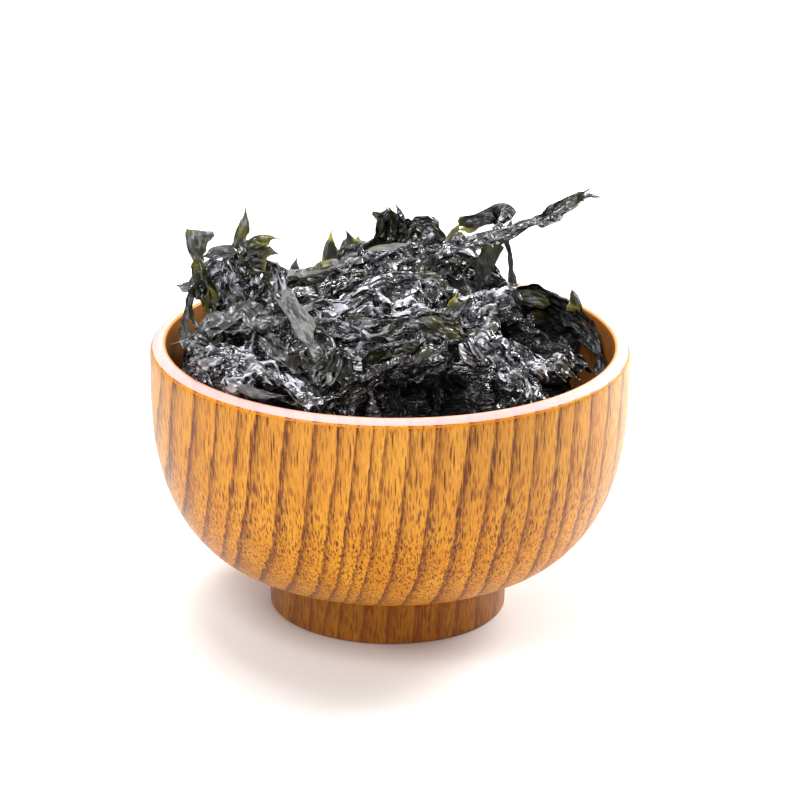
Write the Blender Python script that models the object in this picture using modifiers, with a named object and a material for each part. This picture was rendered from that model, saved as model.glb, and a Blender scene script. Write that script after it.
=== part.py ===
"""Dried purple laver heaped in a turned wooden bowl.

Units are millimetres in the named sizes below and metres in Blender, with +Z up. The origin is the
centre of the foot's underside. The bowl is one turned piece: foot, belly and rim. The laver is one
heap: a lumpy mound that fills the bowl, with crinkled blades of dried seaweed fused on.
"""

import math
import random

import bmesh
import bpy
from mathutils import Vector

MM = 0.001

# Bowl
BOWL_HEIGHT = 70.0
BOWL_RADIUS = 60.0
RIM_OUTER_RADIUS = 59.7
RIM_INNER_RADIUS = 56.0
RIM_DROP = 1.2  # the rim slopes down this much to its outer edge
RIM_FLAT = 2.2  # width of the sloping band, from the rim's crest to its outer edge
RIM_ROUND = 0.5
SHOULDER_HEIGHT = 63.0  # above it the wall is upright
FOOT_HEIGHT = 12.8
FOOT_RADIUS = 30.3
FOOT_TAPER = 0.4
FOOT_ROUND = 0.8
RECESS_RADIUS = 24.0
RECESS_DEPTH = 1.6
WELL_HEIGHT = 16.0  # lowest point inside the bowl
BELLY_POWER, BELLY_ROOT = 2.71, 2.0
WELL_POWER, WELL_ROOT = 2.7, 3.2
BELLY_STEPS, WELL_STEPS = 12, 11
TURN_STEPS = 64

# Heap
WALL_GAP = 0.8  # between the mound and the bowl
BLADE_WALL_GAP = 1.4  # between a blade's middle surface and the bowl
OVERHANG = 0.3  # above the rim a blade may reach this much further out for each millimetre up
MOUND_EDGE_RADIUS = 54.2
MOUND_EDGE_HEIGHT = 57.0
MOUND_PEAK_HEIGHT = 85.0
MOUND_SHAPE = 0.8
# Swellings and hollows on the mound: x, y, spread, height
SWELLINGS = (
    (-39.0, -6.0, 13.0, 8.0),
    (-12.0, 32.0, 13.0, 2.0),
    (14.0, -30.0, 12.0, 3.0),
    (50.0, 9.0, 14.0, -16.0),
    (-21.0, 14.0, 11.0, -5.0),
)
LUMP_HEIGHT = 1.3
MOUND_AROUND, MOUND_UP = 32, 12

# Blades
BLADE_THICKNESS = 0.9
BLADE_STEP = 6.0  # length of a blade's facets
BLADE_ACROSS = 2  # facets across a blade
PLEAT_HEIGHT = 0.11  # of a blade's width
PLEAT_SPAN = 4.2  # radians of a pleat's wave from the blade's middle to its side
PLEAT_DRIFT = (0.1, 0.25)  # radians for each millimetre along the blade
RAGGED_WIDTH = (0.78, 1.15)  # the blade's sides wander between these shares of its half width
SIDEWAYS_LEAN = 0.016  # how much a lying blade leans for each millimetre from the bowl's axis
FORWARD_LEAN = 0.6
UPWARD_LEAN = 0.35  # of a standing blade's face
LOOSE_BLADES = 24
LOOSE_LENGTH = (17.0, 30.0)
LOOSE_WIDTH = (6.0, 11.0)
GOLDEN_ANGLE = math.pi * (3.0 - math.sqrt(5.0))
SEED = 11

# The largest blades, each by its route's points: x, y, z, width. These lie on the heap, face up.
LYING_BLADES = {
    "long_strip": [
        (0, 5, 84, 7), (10, 1, 92, 8), (20, -4, 97, 7), (29, -7, 100.5, 6),
        (37, -9, 105, 5), (44, -10, 109.5, 4), (48.5, -10, 113.6, 1.2),
    ],
    "strip_fork": [(41, -9.5, 107.5, 3.5), (46.5, -10, 110, 2.6), (51.5, -10, 109.6, 1.0)],
    "top_curl": [
        (14, 12, 88, 5), (17, 14, 95, 4.5), (22, 14, 98, 5),
        (27, 11, 101.5, 5), (30, 8, 100, 3), (31, 4, 96, 2),
    ],
    "side_membrane": [(10, 8, 86, 12), (19, 7, 89, 13), (27, 3, 91, 8), (29, 1, 93, 4)],
    "right_clump": [(8, -18, 79, 9), (16, -18, 82, 10), (24, -15, 85, 9), (32, -12, 88, 5)],
    "saddle": [(-32, 6, 82, 8), (-24, 9, 82, 8), (-15, 10, 84, 9), (-6, 10, 88, 9)],
    "grey_membrane": [
        (-27, -10, 83, 8), (-22.5, -19, 81, 10), (-18, -29, 77, 13), (-17, -39, 73, 11), (-18, -48, 69, 7),
    ],
    "left_ribbons": [(-49, -24, 70, 6), (-42, -29, 75, 9), (-34, -35, 75, 10), (-25, -41, 73, 7)],
    "left_leaf": [(-54, -16, 73.5, 1), (-49, -18, 75, 4), (-43, -20, 74, 5)],
    "left_bar": [(-47, -13, 76, 7), (-37, -16, 81, 8), (-26, -19, 81, 7)],
    "front_leaf": [(-37, -44, 70, 4), (-29, -47, 73, 5), (-20, -47, 72, 2)],
    "front_arc": [(-17, -25, 79, 5), (-5, -31, 82, 6), (8, -30, 84, 6), (20, -27, 80, 6)],
    "right_ribbon": [(17, -25, 79, 7), (25, -30, 79, 7), (32, -33, 76, 7), (42, -34, 71.5, 3)],
    "right_drop": [(26, -28, 77, 6), (31, -37, 73, 7), (33, -43, 68, 5)],
    "front_diagonal": [(-12, -45, 70, 5), (-2, -41, 76, 6), (10, -36, 79, 6), (20, -27, 80, 5)],
    "top_clump": [(-12, 5, 84, 12), (1, 6, 89, 14), (14, 5, 90, 13), (26, 1, 86, 9)],
    "middle_clump": [(-14, -11, 81, 12), (0, -9, 87, 14), (13, -10, 85, 12)],
    "rear_sheet": [(-34, 30, 66, 12), (-24, 38, 69, 14), (-10, 43, 69, 12)],
    "rear_ribbon": [(4, 34, 76, 9), (14, 36, 74, 10), (24, 36, 69, 7)],
    "rear_slope": [(-30, 12, 80, 8), (-27, 24, 77, 11), (-20, 33, 73, 9)],
    "rear_fold": [(10, 24, 85, 9), (20, 22, 83, 11), (30, 20, 77, 9), (38, 14, 70, 6)],
}

# These stand up from the heap, face forward.
STANDING_BLADES = {
    "hanging_strand": [(27, -4, 99, 2.6), (29.5, -3, 93, 1.8), (30.5, -6, 86, 2.2), (29, -9, 80, 3)],
    "back_crest": [(-7, 20, 83, 9), (1, 24, 90.3, 11), (8, 24.5, 90, 10), (15, 22, 86, 7)],
    "back_spike_left": [(-1.2, 24, 88, 6), (-1, 24.5, 93.5, 4), (-1.6, 24.5, 97.5, 0.8)],
    "back_spike_right": [(2.5, 24, 88, 7), (1.8, 24.5, 94, 4), (0.9, 24.5, 98.2, 0.8)],
    "rear_tooth_left": [(-16, 31, 72, 9), (-16.6, 35, 79.5, 6.5), (-15.7, 36, 88, 0.8)],
    "rear_tooth_right": [(-9, 30, 74, 9), (-10.5, 35, 81, 6.5), (-11.9, 36, 87.7, 0.8)],
    "rear_edge": [(-15, 33, 79, 7), (-8, 32, 82.5, 8), (-2, 27, 83, 8)],
    "flag": [(-44, -7, 76, 5), (-46, -6, 84, 3.6), (-47.2, -5, 91, 6), (-47.4, -5, 98.6, 7.6)],
    "tuft": [
        (-38, -10, 72, 13), (-37, -6, 82, 15), (-35, -3, 91, 12), (-35.4, -1, 96, 6),
        (-35.3, 0.5, 99.5, 3), (-35, 1, 103.6, 0.8),
    ],
    "tuft_side": [(-34, -3, 80, 8), (-38.5, -4, 87, 7), (-41.5, -4, 93.5, 3)],
    "tuft_point": [(-38, -1, 87, 7), (-33, 0, 92.5, 6), (-30, 0, 95, 3), (-25.6, 0, 94.6, 0.8)],
    "tuft_lobe": [(-38, -5, 83, 7), (-32, -5, 89.5, 7), (-27.7, -4, 91.5, 3.5)],
    "tuft_hang": [(-44, -6, 89, 4), (-48.5, -8, 82.5, 5), (-48.5, -12, 76, 6), (-44, -18, 71, 5)],
    "right_sheet": [(27, 31, 64, 12), (34.5, 32, 66.5, 13), (41, 30, 65.5, 13), (47, 25.5, 62, 10)],
    "right_sheet_tip": [(43, 29, 66, 7), (46, 26.5, 71, 5), (47, 25.5, 75.4, 0.8)],
}


def clear_scene():
    for thing in list(bpy.data.objects):
        bpy.data.objects.remove(thing, do_unlink=True)


def new_collection(name):
    collection = bpy.data.collections.new(name)
    bpy.context.scene.collection.children.link(collection)
    return collection


def new_material(name, colour, roughness):
    material = bpy.data.materials.new(name)
    material.use_nodes = True
    shader = material.node_tree.nodes["Principled BSDF"]
    shader.inputs["Base Color"].default_value = (*colour, 1.0)
    shader.inputs["Roughness"].default_value = roughness
    shader.inputs["Metallic"].default_value = 0.0
    return material


def new_object(name, mesh, material, collection):
    made = bpy.data.objects.new(name, mesh)
    collection.objects.link(made)
    mesh.materials.append(material)
    return made


# ---------------------------------------------------------------- bowl


def swell(height, low, high, power, root):
    """Share of the full radius that a belly has at this height, from 0 at low to 1 at high."""
    share = min(max((height - low) / (high - low), 0.0), 1.0)
    return (1.0 - (1.0 - share) ** power) ** (1.0 / root)


def outer_radius(height):
    widening = swell(height, FOOT_HEIGHT, SHOULDER_HEIGHT, BELLY_POWER, BELLY_ROOT)
    return FOOT_RADIUS + (BOWL_RADIUS - FOOT_RADIUS) * widening


def inner_radius(height):
    return RIM_INNER_RADIUS * swell(height, WELL_HEIGHT, SHOULDER_HEIGHT, WELL_POWER, WELL_ROOT)


def curve_heights(low, high, count):
    """Heights from low to high, closer together near low, where the belly curves most."""
    return [low + (high - low) * (i / count) ** 2.0 for i in range(count + 1)]


def bowl_profile():
    """(radius, height) points from the inside's centre up the wall, over the rim and down the outside."""
    inside = [(inner_radius(z), z) for z in curve_heights(WELL_HEIGHT, SHOULDER_HEIGHT, WELL_STEPS)]
    outside = [(outer_radius(z), z) for z in curve_heights(FOOT_HEIGHT, SHOULDER_HEIGHT, BELLY_STEPS)]
    rim = [
        (RIM_INNER_RADIUS, BOWL_HEIGHT - 2.0 * RIM_ROUND),
        (RIM_INNER_RADIUS + 0.3 * RIM_ROUND, BOWL_HEIGHT - 0.4 * RIM_ROUND),
        (RIM_INNER_RADIUS + 1.5 * RIM_ROUND, BOWL_HEIGHT),
        (RIM_OUTER_RADIUS - RIM_FLAT, BOWL_HEIGHT),
        (RIM_OUTER_RADIUS - 0.5 * RIM_FLAT, BOWL_HEIGHT - 0.35 * RIM_DROP),
        (RIM_OUTER_RADIUS, BOWL_HEIGHT - RIM_DROP),
        (BOWL_RADIUS, BOWL_HEIGHT - RIM_DROP - 2.0 * RIM_ROUND),
    ]
    foot_edge = FOOT_RADIUS - FOOT_TAPER
    foot = [
        (foot_edge, FOOT_ROUND),
        (foot_edge - 0.3 * FOOT_ROUND, 0.3 * FOOT_ROUND),
        (foot_edge - FOOT_ROUND, 0.0),
        (RECESS_RADIUS, 0.0),
        (RECESS_RADIUS - RECESS_DEPTH, RECESS_DEPTH),
        (0.0, RECESS_DEPTH),
    ]
    return inside + rim + outside[::-1] + foot


def add_bowl(collection):
    profile = bmesh.new()
    points = [profile.verts.new((radius * MM, 0.0, height * MM)) for radius, height in bowl_profile()]
    for start, end in zip(points, points[1:]):
        profile.edges.new((start, end))
    mesh = bpy.data.meshes.new("bowl")
    profile.to_mesh(mesh)
    profile.free()
    bowl = new_object("bowl", mesh, new_material("honey_wood", (0.55, 0.24, 0.06), 0.38), collection)
    turn = bowl.modifiers.new("turn", "SCREW")
    turn.steps = turn.render_steps = TURN_STEPS
    turn.use_merge_vertices = True
    turn.merge_threshold = 0.00005
    turn.use_smooth_shade = True
    return bowl


# ---------------------------------------------------------------- heap


def lumps(x, y):
    """Uneven relief on the mound, between -1 and 1."""
    return 0.6 * math.sin(0.31 * x + 1.3 * math.sin(0.17 * y)) + 0.4 * math.sin(0.37 * y + 0.21 * x + 2.0)


def mound_top(x, y):
    """Height of the mound's upper surface."""
    reach = min(math.hypot(x, y) / MOUND_EDGE_RADIUS, 1.0)
    height = MOUND_EDGE_HEIGHT + (MOUND_PEAK_HEIGHT - MOUND_EDGE_HEIGHT) * (1.0 - reach**2) ** MOUND_SHAPE
    for at_x, at_y, spread, rise in SWELLINGS:
        height += rise * math.exp(-((x - at_x) ** 2 + (y - at_y) ** 2) / (2.0 * spread**2))
    return height + LUMP_HEIGHT * lumps(x, y)


def mound_room(height):
    """Largest radius that the mound may have at this height."""
    return min(max(inner_radius(height - 0.5 * WALL_GAP) - WALL_GAP, 0.0), MOUND_EDGE_RADIUS)


def mound_point(direction):
    """Where the mound's surface lies for a point of a unit sphere: bowl side below, heap side above."""
    turn = math.atan2(direction.y, direction.x)
    tilt = math.asin(max(-1.0, min(1.0, direction.z))) / (math.pi / 2.0)
    edge_x = MOUND_EDGE_RADIUS * math.cos(turn)
    edge_y = MOUND_EDGE_RADIUS * math.sin(turn)
    floor = WELL_HEIGHT + WALL_GAP
    if tilt >= 0.0:
        height = mound_top(edge_x * (1.0 - tilt), edge_y * (1.0 - tilt))
        radius = min(MOUND_EDGE_RADIUS * (1.0 - tilt), mound_room(height))
    elif tilt > -0.999:
        height = floor + (mound_top(edge_x, edge_y) - floor) * (1.0 + tilt) ** 2.0
        radius = mound_room(height)
    else:
        height = floor
        radius = 0.0
    return Vector((radius * math.cos(turn), radius * math.sin(turn), height))


def mound_mesh():
    cage = bmesh.new()
    bmesh.ops.create_uvsphere(cage, u_segments=MOUND_AROUND, v_segments=MOUND_UP, radius=1.0)
    for vertex in cage.verts:
        vertex.co = mound_point(vertex.co.normalized()) * MM
    bmesh.ops.triangulate(cage, faces=cage.faces)
    mesh = bpy.data.meshes.new("laver")
    cage.to_mesh(mesh)
    cage.free()
    return mesh


def keep_in_bowl(point):
    """The point moved towards the axis where it would meet the bowl or hang too far over its rim."""
    above = max(point.z - BOWL_HEIGHT - BLADE_WALL_GAP, 0.0)
    room = inner_radius(max(point.z - BLADE_WALL_GAP, WELL_HEIGHT)) - BLADE_WALL_GAP + OVERHANG * above
    radius = math.hypot(point.x, point.y)
    if radius <= room:
        return point
    return Vector((point.x * room / radius, point.y * room / radius, point.z))


def along(route, share):
    """Position and width at this share of a route, on a smooth curve through its points."""
    spans = len(route) - 1
    at = min(max(share, 0.0), 1.0) * spans
    index = min(int(at), spans - 1)
    t = at - index
    knots = [Vector(route[min(max(index + k, 0), spans)]) for k in (-1, 0, 1, 2)]
    before, start, end, after = knots
    return 0.5 * (
        2.0 * start
        + (end - before) * t
        + (2.0 * before - 5.0 * start + 4.0 * end - after) * t**2
        + (3.0 * start - before - 3.0 * end + after) * t**3
    )


def facing(place, standing):
    """Direction that a blade's face looks in: a little off straight up, or forward if it stands."""
    if standing:
        return Vector((0.0, -1.0, UPWARD_LEAN)).normalized()
    return Vector((place.x * SIDEWAYS_LEAN, place.y * SIDEWAYS_LEAN - FORWARD_LEAN, 1.0)).normalized()


def blade_frame(route, share, standing):
    """Position, width, sideways direction and face direction of a blade at this share of its route."""
    here = along(route, share)
    ahead = along(route, min(share + 0.04, 1.0)) - along(route, max(share - 0.04, 0.0))
    heading = Vector(ahead[:3]).normalized()
    place = Vector(here[:3])
    side = heading.cross(facing(place, standing))
    side = side.normalized() if side.length > 0.05 else Vector((1.0, 0.0, 0.0))
    return place, here[3], side, side.cross(heading).normalized()


def blade_mesh(name, route, standing, chance):
    """A crinkled blade: a grid laid along the route, pleated across and ragged at its sides."""
    length = sum((Vector(b[:3]) - Vector(a[:3])).length for a, b in zip(route, route[1:]))
    steps = max(4, round(length / BLADE_STEP))
    phase = chance.uniform(0.0, 2.0 * math.pi)
    drift = chance.uniform(*PLEAT_DRIFT)
    ragged = [[chance.uniform(*RAGGED_WIDTH) for _ in range(steps + 1)] for _ in range(2)]
    sheet = bmesh.new()
    bmesh.ops.create_grid(sheet, x_segments=steps, y_segments=BLADE_ACROSS, size=1.0)
    for vertex in sheet.verts:
        share = (vertex.co.x + 1.0) / 2.0
        across = vertex.co.y
        place, width, side, face = blade_frame(route, share, standing)
        reach = 0.5 * width * ragged[across > 0.0][round(share * steps)]
        pleat = PLEAT_HEIGHT * width * math.sin(phase + PLEAT_SPAN * across + drift * share * length)
        point = place + side * (across * reach) + face * pleat
        vertex.co = keep_in_bowl(point) * MM
    bmesh.ops.triangulate(sheet, faces=sheet.faces)
    mesh = bpy.data.meshes.new(name)
    sheet.to_mesh(mesh)
    sheet.free()
    return mesh


def loose_route(index, chance):
    """A blade that lies on the mound: rooted in it, with its ends lifted off it."""
    reach = 0.9 * MOUND_EDGE_RADIUS * math.sqrt((index + 0.5) / LOOSE_BLADES)
    turn = index * GOLDEN_ANGLE
    heading = chance.uniform(0.0, 2.0 * math.pi)
    bend = chance.uniform(-1.0, 1.0)
    length = chance.uniform(*LOOSE_LENGTH)
    width = chance.uniform(*LOOSE_WIDTH)
    lift = chance.uniform(0.5, 3.0)
    x, y = reach * math.cos(turn), reach * math.sin(turn)
    route = []
    for share, rise, narrowing in ((-0.5, -1.5, 0.6), (-0.2, 0.6, 1.0), (0.15, 0.8, 1.0), (0.5, lift, 0.35)):
        angle = heading + bend * share
        at_x = x + share * length * math.cos(angle)
        at_y = y + share * length * math.sin(angle)
        radius = math.hypot(at_x, at_y)
        if radius > MOUND_EDGE_RADIUS - 3.0:
            shrink = (MOUND_EDGE_RADIUS - 3.0) / radius
            at_x, at_y = at_x * shrink, at_y * shrink
        route.append((at_x, at_y, mound_top(at_x, at_y) + rise, width * narrowing))
    return route


def add_blades(collection, material):
    chance = random.Random(SEED)
    lying = dict(LYING_BLADES)
    for index in range(LOOSE_BLADES):
        lying[f"loose_blade_{index}"] = loose_route(index, chance)
    for name, route in {**lying, **STANDING_BLADES}.items():
        mesh = blade_mesh(name, route, name in STANDING_BLADES, chance)
        blade = new_object(name, mesh, material, collection)
        thicken = blade.modifiers.new("thicken", "SOLIDIFY")
        thicken.thickness = BLADE_THICKNESS * MM
        thicken.offset = 0.0
        thicken.use_rim = True


def keep_largest_shell(mesh):
    """Drops loose scraps, and fills sealed hollows by dropping the surfaces that bound them."""
    shape = bmesh.new()
    shape.from_mesh(mesh)
    bmesh.ops.triangulate(shape, faces=shape.faces)
    unseen = set(shape.faces)
    shells = []
    while unseen:
        shell, front = set(), {unseen.pop()}
        while front:
            shell |= front
            around = {near for face in front for edge in face.edges for near in edge.link_faces}
            front = around & unseen
            unseen -= front
        shells.append(shell)
    shells.sort(key=len)
    scraps = [face for shell in shells[:-1] for face in shell]
    bmesh.ops.delete(shape, geom=scraps, context="FACES")
    shape.to_mesh(mesh)
    shape.free()


def add_laver(collection):
    material = new_material("dried_laver", (0.012, 0.014, 0.010), 0.35)
    blades = new_collection("blades")
    add_blades(blades, material)
    laver = new_object("laver", mound_mesh(), material, collection)
    fuse = laver.modifiers.new("fuse", "BOOLEAN")
    fuse.operation = "UNION"
    fuse.operand_type = "COLLECTION"
    fuse.collection = blades
    fuse.solver = "MANIFOLD"
    graph = bpy.context.evaluated_depsgraph_get()
    fused = bpy.data.meshes.new_from_object(laver.evaluated_get(graph))
    laver.modifiers.clear()
    laver.data = fused
    for blade in list(blades.objects):
        bpy.data.objects.remove(blade, do_unlink=True)
    bpy.data.collections.remove(blades)
    keep_largest_shell(fused)
    return laver


def main():
    clear_scene()
    collection = new_collection("dried_laver_in_bowl")
    add_bowl(collection)
    add_laver(collection)


main()
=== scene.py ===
"""Looks of the dried purple laver heaped in a turned wooden bowl.

Sizes are millimetres in the named values and metres in Blender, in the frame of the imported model:
+Z up, the front towards -Y, the origin under the middle of the bowl's foot.
"""

import math
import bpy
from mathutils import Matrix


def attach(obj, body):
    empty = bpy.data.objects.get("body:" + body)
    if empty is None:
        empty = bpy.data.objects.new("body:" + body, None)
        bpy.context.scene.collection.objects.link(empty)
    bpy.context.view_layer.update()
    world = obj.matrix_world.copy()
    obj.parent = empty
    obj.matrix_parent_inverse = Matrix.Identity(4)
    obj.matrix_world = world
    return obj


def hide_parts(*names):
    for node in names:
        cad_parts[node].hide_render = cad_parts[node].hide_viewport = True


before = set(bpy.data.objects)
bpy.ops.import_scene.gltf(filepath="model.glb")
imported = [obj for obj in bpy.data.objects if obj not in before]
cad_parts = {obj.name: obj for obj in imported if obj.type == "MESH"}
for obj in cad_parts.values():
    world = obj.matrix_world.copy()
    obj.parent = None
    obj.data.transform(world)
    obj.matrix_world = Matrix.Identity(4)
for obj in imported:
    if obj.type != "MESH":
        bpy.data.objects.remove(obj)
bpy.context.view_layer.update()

from types import SimpleNamespace

import bpy
import numpy as np
from mathutils import Matrix, Vector

MM = 0.001
TAU = 2 * math.pi
SEED = 7

# Camera
CAMERA_ELEVATION = 0.347
CAMERA_DISTANCE = 0.9
CAMERA_ROLL = 0.012
CAMERA_AIM = (0.00256, 0, 0.05398)
SENSOR_WIDTH = 36
FOCAL_SHARE = 4.475  # focal length as a share of the frame's width

# Light: name, place, aim, size in metres and radiance
WORLD_LIGHT = 0.35
PANELS = (
    ("top_panel", (-0.12, 0.24, 0.93), (0, 0, 0.07), (0.5, 0.42), 12),
    ("back_panel", (-0.25, 1.25, 0.62), (0, 0, 0.07), (1.2, 0.6), 3),
    ("front_panel", (-0.5, -1.25, 0.9), (0, 0, 0.04), (1.3, 0.9), 1.8),
    ("key_panel", (-0.40, -0.50, 0.85), (0, 0, 0.07), (0.42, 0.42), 9),
    ("right_panel", (0.42, 0.30, 0.30), (0.14, 0.10, 0), (0.22, 0.22), 30),
)
FLOOR_SIZE = 4000

# Bowl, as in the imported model
BOWL_HEIGHT = 70
BOWL_RADIUS = 60
RIM_OUTER_RADIUS = 59.7
RIM_INNER_RADIUS = 56
RIM_DROP = 1.2
RIM_FLAT = 2.2
RIM_ROUND = 0.6
SHOULDER_HEIGHT = 63
FOOT_HEIGHT = 12.8
FOOT_RADIUS = 30.3
FOOT_TAPER = 0.4
FOOT_ROUND = 0.8
RECESS_RADIUS = 24
RECESS_DEPTH = 1.6
WELL_HEIGHT = 16
BELLY_POWER, BELLY_ROOT = 2.71, 2
WELL_POWER, WELL_ROOT = 2.7, 3.2
PROFILE_STEPS = 46
TURN_STEPS = 288

# Wood: how far across the growth rings each dark line starts, and the colours
RING_PLACES = (
    -65, -62.2, -59.6, -55.3, -50.3, -46, -43, -37.1, -31.6, -26.7, -23.2, -19.8, -17.4, -12.2, -6.3,
    0.4, 6.3, 10.9, 17, 23.5, 28.3, 33.4, 39.3, 45.9, 52.7, 58.5, 64, 69.5,
)
RING_SWAY = ((0.04, 0.02, 2.5), (0.5, 0.06, 1.2), (1.6, 0.3, 0.6))  # scale across, scale upright, reach
HONEY = ((0.3, (0.60, 0.215, 0.004)), (0.5, (0.67, 0.260, 0.006)), (0.72, (0.78, 0.34, 0.018)))
DARK_STREAK = (0.40, 0.115, 0.004)
PALE_STREAK = (0.86, 0.43, 0.035)
# Painted sheen: the outer wall is mixed towards this paler, greyer colour near its top
UPPER_WALL_SHEEN = (0.72, 0.34, 0.08)
RING_LINE = (0.13, 0.024, 0.003)
FINE_PORE = (0.17, 0.036, 0.002)
WIDE_PORE = (0.085, 0.017, 0.004)
FOOT_WOOD = (0.26, 0.075, 0.014)
# Painted sheen on the rim's flat, pale pink
RIM_SHEEN = (0.74, 0.50, 0.52)
RIM_EDGE = (0.72, 0.23, 0.012)
# Painted shade inside the bowl
INSIDE_SHADE = (0.26, 0.090, 0.024)

# Heap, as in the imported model; each swelling is x, y, spread and rise
MOUND_EDGE_RADIUS = 54.2
MOUND_EDGE_HEIGHT = 57
MOUND_PEAK_HEIGHT = 85
MOUND_SHAPE = 0.8
SWELLINGS = ((-39, -6, 13, 8), (-12, 32, 13, 2), (14, -30, 12, 3), (50, 9, 14, -16), (-21, 14, 11, -5))
WALL_GAP = 0.5  # between a blade and the bowl
OVERHANG = 0.3
# Gaps between the blades, where the heap falls away and its loose blades are painted dark as shade: x, y,
# spread and fall
GAPS = ((12, -40, 10, 11), (-30, -42, 8, 8), (38, -6, 9, 9), (2, -24, 4.5, 5))
# Painted shade: blades darken from this far below the dome, over this span
SHADE_START, SHADE_SPAN = 2, 7  # how far below the dome it gets dark

# The crumpled bed under the blades
BED_AROUND, BED_RINGS, BED_WALL_RINGS = 300, 110, 22
BED_DEPTH = 5.5
BED_RIDGES = ((13, 3), (6, 2.4), (3, 1.3), (1.6, 0.6))  # size and height

# Blades
GRID = 0.5  # spacing of a blade's mesh
THICKNESS = 0.16
EDGE_THICKNESS = 0.05
FINE_STEPS = 200
PLEATS = ((6.5, 0.5), (3.4, 0.45), (2, 0.3))  # width and slope of the pleats that run along a blade
FACETS = ((12, 3.6, 0.35), (5, 1.8, 0.25))  # length, width and slope of flat facets
# Width, lean and height share of crossing creases
CREASES = ((4.5, 0.3, 0.07), (2.4, -0.2, 0.07), (1.6, 0.1, 0.05), (6, 1.2, 0.03))
NOISE_SPAN = 60  # noise is read from a place up to this far off
BLUNT_END, PLAIN_END, POINTED_END = 0.3, 1.5, 5  # length over which a blade's end tapers
POINTED_WIDTH = 3  # ends narrower than this are drawn out to a point
STRAND_STEPS = 7
STRAND_TAPER = (0.6, 1, 1, 1.1, 1, 0.9, 0.5)
STRAND_SPREAD = 0.3
STRAND_LIFT = 1.2

# Loose blades
GOLDEN_ANGLE = math.pi * (3 - math.sqrt(5))
LIE_OF_BLADES = -0.35  # most of them run this way round from +X
RIM_CLEARANCE = 3
DEEP_GAP = 3
GAP_SINK = 4
# Painted highlight goes only on blades left of this x
LIGHT_SIDE = 32  # none of the blades beyond this x is pale

# Laver's colours
DARK_FILM = ((0.3, (0.007, 0.007, 0.008)), (0.55, (0.012, 0.012, 0.010)), (0.75, (0.020, 0.023, 0.012)))
GREY_FILM = ((0.3, (0.046, 0.049, 0.043)), (0.7, (0.080, 0.084, 0.075)))
OLIVE_FILM = ((0.3, (0.075, 0.082, 0.018)), (0.7, (0.26, 0.25, 0.09)))
# Painted highlight colours: a paler grey for calm film and lavender-white for ridges
SHEEN_GREY = (0.34, 0.34, 0.36)
HIGHLIGHT_LAVENDER = (0.66, 0.65, 0.72)
# Painted shade: deep and shaded blades turn this near black
SHADE_FILM = (0.012, 0.012, 0.012)
LIGHT_THROUGH_DARK = (0.02, 0.022, 0.004)
LIGHT_THROUGH_OLIVE = (0.78, 0.74, 0.33)


def blade(*route, calm=0, olive=0, pale=0, shade=0, strands=1, steady=False, square=False):
    """A blade that shows by itself: its route, in rows of x, y, z and width, and its look.

    calm is how smooth its film is, olive how much olive shows through it, pale how much highlight
    is painted on its ridges and shade how much painted shade darkens it. It may be several narrow
    strands. A steady blade keeps to its route without tears, and a square one has blunt ends.
    """
    look = (calm, olive, pale, shade)
    return SimpleNamespace(route=route, look=look, strands=strands, steady=steady, square=square)


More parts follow.
